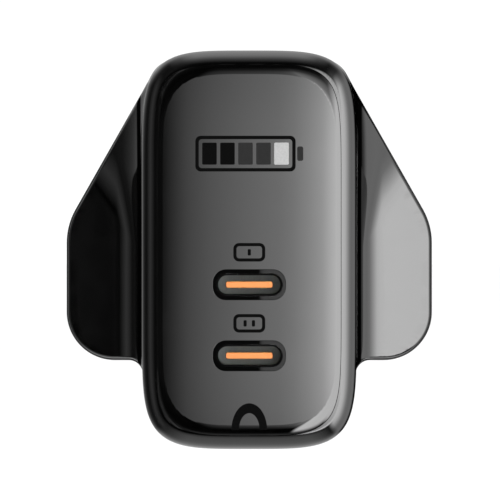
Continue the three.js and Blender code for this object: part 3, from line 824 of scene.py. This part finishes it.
def housing(look):
    """The outer surface from the field, closed through the hollow into one thin-walled shell."""
    angles = column_angles()
    outer = outer_profiles(angles)
    count = len(angles)
    rings = [(outer[:, k, 0], outer[:, k, 1]) for k in range(outer.shape[1])]
    rings += [(radius, np.full(count, depth)) for radius, depth in inner_profile(angles)]
    cos_a, sin_a = np.cos(angles), np.sin(angles)
    vertices = [np.column_stack([r * cos_a, y, CENTRE_Z + r * sin_a]) for r, y in rings]
    vertices = np.concatenate(vertices)
    faces = []
    for k in range(len(rings)):
        here, after = k * count, (k + 1) % len(rings) * count
        for i in range(count):
            j = (i + 1) % count
            faces.append((here + i, here + j, after + j, after + i))
    piece = new_object("housing_shell", vertices, faces)
    reworked(piece.data, face_outwards)
    outside = outer.shape[1] * count
    normals = [vertex.normal.copy() for vertex in piece.data.vertices]
    normals[:outside] = field_normals(vertices[:outside])
    piece.data.normals_split_custom_set_from_vertices(normals)
    finish_piece(piece, "housing", look)


def panel_drop(inset, z):
    """How far the panel's face has fallen away at this distance in from its edge."""
    change = (np.abs(z - CENTRE_Z) - SOFT_CHANGE[0]) / (SOFT_CHANGE[1] - SOFT_CHANGE[0])
    change = np.clip(change, 0, 1)
    width = SOFT_SIDES + (SOFT_ENDS - SOFT_SIDES) * change**2 * (3 - 2 * change)
    return SOFT_DROP * width * np.clip(1 - inset / width, 0, 1) ** 3


def looped(items):
    """Each item with the next one, and the last with the first."""
    return zip(items, [*items[1:], items[0]])


def fill_between(work, loops, facing):
    """Fills the flat area between an outer loop of vertices and the loops inside it."""
    sides = [side for loop in loops for side in looped(loop)]
    edges = [work.edges.get(side) or work.edges.new(side) for side in sides]
    bmesh.ops.triangle_fill(work, edges=edges, use_beauty=True, normal=(0, facing, 0))


def front_panel(look):
    """A flat face that falls away gently round its edge, with a rounded hole for each port."""
    fine, points = fine_outline(panel_outline(0.0), -math.pi, math.pi, OUTLINE_RAYS)
    where = spread(points, PANEL_POINTS + 1, turn_weight=10.0, step=1.0)[:-1]
    angles = np.interp(where, np.arange(len(fine)), fine)
    edge = PANEL_EDGE
    steps = [(inset, inset, PANEL_FRONT) for inset in np.linspace(SOFT_ENDS, edge, PANEL_RINGS)]
    for turn in (math.pi / 6, math.pi / 3, math.pi / 2):
        behind = edge * (1 - math.cos(turn))
        steps.append((edge * (1 - math.sin(turn)), edge, PANEL_FRONT + behind))
    steps += [(0.0, SOFT_ENDS, PANEL_BACK - edge), (edge, SOFT_ENDS, PANEL_BACK)]
    # a hole's wall: how far out each of its steps is, and how deep
    hole = [(0.0, PANEL_FRONT), (-0.02, PANEL_FRONT + 0.01), (-0.03, PANEL_FRONT + 0.03)]
    hole += [(-0.03, PANEL_BACK - 0.05), (0.0, PANEL_BACK)]
    work = bmesh.new()

    def ring(points):
        return [work.verts.new([value * MM for value in point]) for point in points]

    rim = []
    for inset, soft_inset, y in steps:
        radius = outline_radius(panel_outline(inset), angles)
        x, z = radius * np.cos(angles), CENTRE_Z + radius * np.sin(angles)
        rim.append(ring(zip(x, y + panel_drop(soft_inset, z), z)))
    walls = [rim]
    for port_z in PORT_Z:
        shapes = [bezel_outline(port_z, PORT_CLEARANCE + out) for out, _ in hole]
        walls.append([ring([(x, y, z) for x, z in s]) for s, (_, y) in zip(shapes, hole)])
    for wall in walls:
        for pair in zip(wall, wall[1:]):
            for (a, b), (c, d) in zip(*(looped(ring) for ring in pair)):
                work.faces.new((a, b, d, c))
    fill_between(work, [wall[0] for wall in walls], -1)
    fill_between(work, [wall[-1] for wall in walls], 1)
    face_outwards(work)
    mesh = bpy.data.meshes.new("front_insert")
    work.to_mesh(mesh)
    work.free()
    mesh.shade_smooth()
    piece = level_faces(in_scene("front_insert", mesh))
    finish_piece(piece, "front_panel", look)


def port_bezel(i, z, look, liner_look):
    """The black ring round each port's opening, and the matt liner that covers the shell's rim."""
    rear = box_mm(f"usb_shell_{i}")[0][1] - BEZEL_RISE
    split = [length + 2 * LINER_WIDTH for length in BEZEL_OPENING]
    ring = [bezel_outline(z, 0.0), pill(z, *(length + BEZEL_OVERLAP for length in split))]
    bezel = plate(f"port_bezel_{i}", ring, PANEL_FRONT - BEZEL_RISE, rear, edge=0.03)
    finish_piece(bezel, None, look)
    ring = [pill(z, *split), pill(z, *BEZEL_OPENING)]
    liner = plate(f"port_liner_{i}", ring, PANEL_FRONT + LINER_DEPTH, rear, edge=0.04)
    finish_piece(liner, None, liner_look)


def rear_cover(look):
    """The plate with its locating rib and the bosses round the pins."""
    holes = []
    bosses = []
    for name, margin in BOSS_MARGINS.items():
        low, high = box_mm(name)
        x, _, z = (low + high) / 2
        half_x, _, half_z = (high - low) / 2
        hole = rounded_rectangle(x, z, half_x + PIN_GAP, half_z + PIN_GAP, 0.35, 3)
        holes.append(hole)
        bosses.append([rounded_rectangle(x, z, half_x + margin, half_z + margin, 0.8, 4), hole])
    outline = traced(lambda x, z: full_outline(x, z, COVER_MARGIN), count=320)
    cover = plate("plug_base", [outline, *holes], COVER_FRONT, COVER_REAR, edge=0.25)
    ribs = [traced(full_outline, count=260, level=-inset) for inset in RIB_INSETS]
    root = COVER_FRONT + RAISED_OVERLAP
    raised = [plate("rib", ribs, COVER_FRONT - RIB_HEIGHT, root, edge=0.1)]
    for i, outlines in enumerate(bosses):
        raised.append(plate(f"boss_{i}", outlines, COVER_FRONT - BOSS_HEIGHT, root, edge=0.15))
    finish_piece(join(cover, *raised), "rear_cover", look)


def receptacle(i, z, finishes):
    """One USB-C receptacle: drawn shell, orange tongue with gold contacts, and its collar."""
    low, high = box_mm(f"usb_shell_{i}")
    width, _, height = high - low
    mouth = [pill(z, width, height), pill(z, width - 2 * SHELL_WALL, height - 2 * SHELL_WALL)]
    shell = plate(f"receptacle_shell_{i}", mouth, low[1], high[1], edge=0.09)
    finish_piece(shell, f"usb_shell_{i}", finishes["steel"])
    low, high = box_mm(f"usb_tongue_{i}")
    tip = low[1]
    half_width = (high[0] - low[0]) / 2 - TONGUE_SIDE
    half_height = (high[2] - low[2]) / 2 + TONGUE_SKIN
    section = rounded_rectangle(0, z, half_width, half_height, TONGUE_CORNER, 4)
    tongue = plate(f"receptacle_tongue_{i}", [section], tip, high[1], edge=0.1)
    finish_piece(tongue, f"usb_tongue_{i}", finishes["orange"])
    low, high = box_mm(f"usb_collar_{i}")
    gap = COLLAR_GAP
    slot = rounded_rectangle(0, z, half_width + gap, half_height + gap, TONGUE_CORNER, 4)
    sections = [pill(z, high[0] - low[0], high[2] - low[2]), slot]
    collar = plate(f"receptacle_collar_{i}", sections, low[1], high[1], edge=0.05)
    finish_piece(collar, f"usb_collar_{i}", finishes["grey"])
    contacts = []
    for side in (-1, 1):
        for k in range(PADS):
            x = (k - (PADS - 1) / 2) * PAD_PITCH
            pad = [rounded_rectangle(x, z + side * half_height, *PAD_HALF_SIZE, 0.02, 2)]
            contacts.append(plate(f"pad_{k}", pad, *(tip + depth for depth in PAD_SPAN), 0.01))
    gold_pads = join(*contacts)
    gold_pads.name = f"receptacle_contacts_{i}"
    finish_piece(gold_pads, None, finishes["gold"])


def print_mark(name, shapes, look):
    """Flat printed shapes that follow the panel's face; each is an outline and its holes."""
    flats = [plate(name, shape, INK_FRONT, INK_BACK, INK_EDGE) for shape in shapes]
    mark = join(*flats) if len(flats) > 1 else flats[0]
    mark.name = name
    for vertex in mark.data.vertices:
        x, z = vertex.co.x / MM, vertex.co.z / MM
        inset = -panel_outline(0.0)(np.array([x]), np.array([z]))[0]
        vertex.co.y += (PANEL_FRONT + panel_drop(inset, z)) * MM
    finish_piece(mark, None, look)


def port_symbols(ink):
    """Above each port, a small outline with one bar in it for the first and two for the second."""
    half_width, half_height, stroke, pitch, rise = 2.1, 1.22, 0.42, 1.1, 4.27
    bar_half_height = 0.42
    for port, port_z in enumerate(PORT_Z, start=1):
        z = port_z + rise
        ring = [
            rounded_rectangle(0, z, half_width, half_height, 0.75, 6),
            rounded_rectangle(0, z, half_width - stroke, half_height - stroke, 0.36, 4),
        ]
        bars = []
        for k in range(port):
            x = (k - (port - 1) / 2) * pitch
            bars.append([rounded_rectangle(x, z, stroke / 2, bar_half_height, 0.12, 2)])
        print_mark(f"port_symbol_{port}", [ring, *bars], ink)


def battery_symbol(inks):
    """A plain battery outline with charge bars that fade to the right; the last bar's light ink is a
    painted highlight.
    """
    left, right, z = -7.1, 6.1, 16.15
    half, wall, gap, bars = 2.35, 0.45, 0.45, 5
    middle, reach = (left + right) / 2, (right - left) / 2
    outer = rounded_rectangle(middle, z, reach, half, 0.7, 5)
    inner = rounded_rectangle(middle, z, reach - wall, half - wall, 0.4, 5)
    print_mark("battery_outline", [[outer, inner]], inks["dark"])
    nub = rounded_rectangle(right + 0.6, z, 0.4, 0.95, 0.25, 4)
    print_mark("battery_nub", [[nub]], inks["mid"])
    room = 2 * (reach - wall - gap)
    width = (room - gap * (bars - 1)) / bars
    for k, shade in enumerate(("dark", "dark", "mid", "mid", "light")):
        x = left + wall + gap + width / 2 + k * (width + gap)
        shape = rounded_rectangle(x, z, width / 2, half - wall - gap, 0.15, 3)
        print_mark(f"battery_bar_{k + 1}", [[shape]], inks[shade])


def lower_arch(ink):
    """A plain arch at the panel's lower edge."""
    centre_z, outer, inner, steps = -20.2, (2.35, 3.5), (1.35, 2.2), 32
    turns = [math.pi * k / steps for k in range(steps + 1)]
    arch = [(outer[0] * math.cos(t), centre_z + outer[1] * math.sin(t)) for t in turns]
    arch += [(inner[0] * math.cos(t), centre_z + inner[1] * math.sin(t)) for t in reversed(turns)]
    print_mark("lower_arch", [[arch]], ink)


def dress(node, look, bevel):
    """Gives a CAD node its finish and, where it is moulded or cut, softened edges."""
    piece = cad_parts[node]
    piece.data.materials.clear()
    piece.data.materials.append(look)
    piece.data.shade_smooth()
    if bevel:
        edge = piece.modifiers.new("soft_edges", "BEVEL")
        edge.width = bevel * MM
        edge.segments = 2
        edge.limit_method = "ANGLE"
        edge.angle_limit = math.radians(38)
    piece.modifiers.new("even_shading", "WEIGHTED_NORMAL")


def dress_solids():
    """The pieces that the CAD model's own solids show, each with its finish and its edges' radius."""
    epoxy, core = finish("moulded_epoxy"), finish("pressed_ferrite")
    groups = [
        ("main_board port_board", circuit_board(), 0.08),
        ("fuse bridge_rectifier optocoupler primary_switch", epoxy, 0.12),
        ("pwm_controller sync_rectifier port_controller_1 port_controller_2", epoxy, 0.1),
        ("transformer_core_lower transformer_core_upper choke_core", core, 0.2),
        ("filter_inductor_core port_inductor_1 port_inductor_2", core, 0.2),
        ("transformer_bobbin choke_base", satin_black(), 0.12),
        ("transformer_winding", winding_tape(), 0.2),
        ("choke_winding_1 choke_winding_2 filter_inductor_winding", finish("enamelled_copper"), 0.0),
        ("bulk_capacitor_1 bulk_capacitor_2 bulk_capacitor_3", finish("shrink_sleeve"), 0.1),
        ("output_capacitor_1 output_capacitor_2", finish("drawn_aluminium_can"), 0.1),
        ("varistor y_capacitor", finish("dipped_lacquer"), 0.3),
        ("x_capacitor", finish("yellow_box_plastic"), 0.3),
        ("thermal_pad", finish("silicone_pad"), 0.15),
        ("heat_spreader", finish("rolled_aluminium"), 0.08),
        ("insulation_sheet", finish("polyimide_film"), 0.04),
        ("live_wire", finish("brown_insulation"), 0.0),
        ("neutral_wire", finish("blue_insulation"), 0.0),
        ("live_pin neutral_pin", finish("nickel_plate"), 0.12),
        ("live_pin_sleeve neutral_pin_sleeve earth_pin", finish("pin_sleeve_nylon"), 0.1),
    ]
    for nodes, look, bevel in groups:
        for node in nodes.split():
            dress(node, look, bevel)


# ---- Studio ----


def light(name, size, power, place, aim):
    """A rectangular lamp, in metres and watts, that neither the camera nor the gloss sees."""
    lamp = bpy.data.lights.new(name, "AREA")
    lamp.shape = "RECTANGLE"
    lamp.size, lamp.size_y = size
    lamp.energy = power
    holder = in_scene(name, lamp)
    holder.location = place
    holder.rotation_euler = (Vector(aim) - Vector(place)).to_track_quat("-Z", "Y").to_euler()
    holder.visible_glossy = False
    holder.visible_camera = False


STUDIO_RADIUS = 0.6

# Radiance, where white paper's is 1. Straight ahead, by place on the room's wall in mm: across it
# from the left, and a share of that by height.
AHEAD_RANGE = 50
AHEAD = [
    (-50, 0.06), (-38, 0.12), (-33, 0.04), (-21, 0.02), (-17.7, 0.16), (-15.6, 0.6), (-12.6, 1.3),
    (-8, 2.0), (-1, 2.8), (6, 3.5), (9, 4.2), (12, 5.5), (15, 7.2), (16.5, 9.5), (18.5, 12),
    (30, 11.6), (50, 11),
]
SIDE_START, SIDE_FULL = 21, 27  # from here to the right, height matters less: low down or due right
AHEAD_ENDS = (13, 20)  # degrees from straight ahead between which the rest of the room takes over
HEIGHT_RANGE = 200
HEIGHT_SHARE = [
    (-180, 0.0), (-110, 0.0), (-84, 0.1), (-62, 0.28), (-48, 0.34), (-42, 0.5), (-38, 0.8),
    (-32, 0.93), (-24, 1), (20, 1), (28, 0.94), (36, 0.83), (41, 0.73), (47, 0.52), (60, 0.3),
    (83, 0.22), (112, 0.06), (150, 0.01), (180, 0.0),
]

# Further round, by degrees away from straight ahead: to the right, above, to the left and below,
# and in the corners between them.
AROUND = [
    (0, (11.0, 0.02, 0.04, 0.02), 0.02), (17, (10.5, 0.02, 0.02, 0.04), 0.06),
    (28, (10.2, 0.04, 0.17, 0.96), 0.12), (40, (7.9, 0.42, 0.4, 1.45), 0.1),
    (53, (5.5, 1.0, 0.64, 1.54), 0.1), (66, (3.4, 1.95, 0.41, 1.65), 0.15),
    (81, (2.6, 3.0, 0.1, 1.7), 0.2), (97, (2.3, 3.05, 0.08, 2.0), 0.6),
    (116, (1.5, 2.3, 0.23, 2.0), 1.5), (124, (0.4, 2.0, 0.34, 1.95), 1.4),
    (132, (0.0, 1.7, 0.48, 1.85), 1.3), (150, (0.0, 0.8, 0.45, 1.1), 0.9),
    (180, (0.0, 0.6, 0.45, 0.8), 0.6),
]
BRIGHTEST = 12.0

# Which of those holds, by degrees round from the left through below, and how much of it. The corner
# between two of them takes the rest.
QUARTERS = [
    (-180, "left", 1), (-140, "left", 0.85), (-128, "below", 0.2), (-115, "below", 0.5),
    (-102, "below", 1), (-78, "below", 1), (-65, "below", 0.45), (-54, "corner", 1),
    (-44, "right", 0.9), (-30, "right", 1), (25, "right", 1), (45, "right", 0.1), (60, "corner", 1),
    (73, "above", 0.35), (82, "above", 1), (98, "above", 1), (107, "above", 0.35),
    (122, "corner", 1), (138, "corner", 1), (158, "left", 0.85), (180, "left", 1),
]


def room_strength(graph):
    """The room's brightness from its own coordinates."""
    maths = graph.maths

    def channels(value, stops):
        made = graph.ramp(value, stops)
        parts = graph.node("ShaderNodeSeparateColor", Color=made.outputs["Color"])
        return [parts.outputs[k] for k in ("Red", "Green", "Blue")] + [made.outputs["Alpha"]]

    def across(value, reach, stops, full):
        """Levels by a coordinate that runs from -reach to reach, in mm."""
        place = maths("MULTIPLY_ADD", value, 1 / (2 * reach * MM), 0.5)
        return channels(place, [(at / (2 * reach) + 0.5, (*grey(x / full), 1)) for at, x in stops])[0]

    def total(values):
        first, *rest = values
        for value in rest:
            first = maths("ADD", first, value)
        return first

    x, y, z = graph.axes()
    radial = maths("SQRT", maths("ADD", maths("MULTIPLY", x, x), maths("MULTIPLY", z, z)))
    away = maths("MULTIPLY", maths("ARCTAN2", radial, maths("MULTIPLY", y, -1.0)), 1 / math.pi)
    turn = maths("MULTIPLY_ADD", maths("ARCTAN2", z, x), 0.5 / math.pi, 0.5)
    sides = [(angle / 180, tuple(level / BRIGHTEST for level in four)) for angle, four, _ in AROUND]
    corners = [(angle / 180, (*grey(level / BRIGHTEST), 1)) for angle, _, level in AROUND]
    quarters = [
        (angle / 360 + 0.5, [share * (name == side) for side in ("right", "above", "left", "below")])
        for angle, name, share in QUARTERS
    ]
    weights = channels(turn, quarters)
    pairs = [maths("MULTIPLY", *pair) for pair in zip(weights, channels(away, sides))]
    rest = maths("SUBTRACT", 1.0, total(weights))
    around = total([*pairs, maths("MULTIPLY", rest, channels(away, corners)[0])])

    side = graph.between(x, 0.0, 1.0, SIDE_START * MM, SIDE_FULL * MM)
    right_or_low = maths("MAXIMUM", weights[0], maths("LESS_THAN", z, 0.0))
    to_the_right = maths("MULTIPLY", side, right_or_low)
    share = maths("MAXIMUM", across(z, HEIGHT_RANGE, HEIGHT_SHARE, 1.0), to_the_right)
    ahead = maths("MULTIPLY", across(x, AHEAD_RANGE, AHEAD, BRIGHTEST), share)

    limits = [angle / 180 for angle in AHEAD_ENDS]
    change = graph.between(away, 0.0, 1.0, *limits, "SMOOTHSTEP")
    front = maths("MULTIPLY", ahead, maths("SUBTRACT", 1.0, change))
    return maths("MULTIPLY", maths("ADD", front, maths("MULTIPLY", around, change)), BRIGHTEST)


def room_glow():
    """An emission that lights nothing and is only reflected."""
    graph = Graph("room_glow")
    graph.nodes.remove(graph.nodes["Principled BSDF"])
    emission = graph.node("ShaderNodeEmission", Strength=room_strength(graph))
    graph.feed(graph.nodes["Material Output"].inputs["Surface"], emission.outputs["Emission"])
    graph.material.cycles.emission_sampling = "NONE"
    return graph.material


def studio():
    """Everything the gloss reflects, painted inside a sphere that only reflections can see."""
    mesh = bpy.data.meshes.new("reflection_room")

    def sphere(work):
        bmesh.ops.create_uvsphere(work, u_segments=64, v_segments=32, radius=STUDIO_RADIUS)

    reworked(mesh, sphere)
    mesh.materials.append(room_glow())
    room = in_scene("reflection_room", mesh)
    room.location = (0, FRONT * MM, CENTRE_Z * MM)
    for ray in ("camera", "diffuse", "transmission", "volume_scatter", "shadow"):
        setattr(room, f"visible_{ray}", False)


def pale_floor():
    """A plain pale floor, below the plugged-in charger, out to the horizon."""
    look = Look("pale_floor")
    look.shader["Roughness"].default_value = 0.8
    look.vary_color(look.noise(0.004, 2.0), grey(0.95), grey(0.97))
    half = 40000
    height = cad_box[0].z / MM - 45
    corners = [(x * half, y * half, height) for x, y in ((-1, -1), (1, -1), (1, 1), (-1, 1))]
    floor = new_object("pale_floor", corners, [(0, 1, 2, 3)])
    floor.data.materials.append(look.material)
    floor.visible_glossy = False


def lights():
    world = bpy.data.worlds.new("pale_room")
    world.use_nodes = True
    background = world.node_tree.nodes["Background"]
    background.inputs["Color"].default_value = (1, 1, 1, 1)
    background.inputs["Strength"].default_value = 1.06
    bpy.context.scene.world = world
    middle = (0, -0.02, 0)
    light("key_softbox", (0.5, 0.7), 8, (0.55, -0.9, 0.5), middle)
    light("fill_softbox", (0.6, 0.6), 3, (-0.7, -0.6, 0.5), middle)
    light("top_softbox", (0.9, 0.9), 7, (0, 0.1, 0.9), middle)
    light("rear_softbox", (0.6, 0.6), 4, (0.2, 1.0, 0.4), (0, 0, 0))


def camera():
    """Square on to the ports, far enough away that the body hardly tapers."""
    data = bpy.data.cameras.new("camera")
    data.sensor_width = 36
    data.lens = 591
    data.clip_start, data.clip_end = 0.05, 200
    distance = 1.08
    sideways = 0.095
    upwards = -0.03
    holder = in_scene("camera", data)
    holder.location = (sideways * MM, FRONT * MM - distance, (CENTRE_Z + upwards) * MM)
    holder.rotation_euler = (math.pi / 2, 0, 0)
    bpy.context.scene.camera = holder


def colour_management():
    view = bpy.context.scene.view_settings
    view.view_transform = "Standard"
    view.look = "None"


camera()
colour_management()
studio()
pale_floor()
lights()

housing(gloss_black())
front_panel(finish("gloss_black_insert"))
rear_cover(satin_black())
receptacle_finishes = {
    "steel": finish("receptacle_steel"),
    "orange": finish("orange_nylon"),
    "grey": finish("collar_nylon"),
    "gold": finish("gold_contacts"),
}
inks = {
    "dark": printed_ink("black_ink", grey(0.0008), grey(0.0012), 0.02),
    "mid": printed_ink("grey_ink", grey(0.009), grey(0.012), 0.08),
    # the light ink is a painted highlight, used on the battery's last bar
    "light": printed_ink("painted_highlight_ink", grey(0.24), grey(0.28), 0.3),
}
bezel = bezel_black()
for index, port_z in enumerate(PORT_Z, start=1):
    receptacle(index, port_z, receptacle_finishes)
    port_bezel(index, port_z, bezel, inks["dark"])

battery_symbol(inks)
port_symbols(inks["dark"])
lower_arch(inks["dark"])
dress_solids()
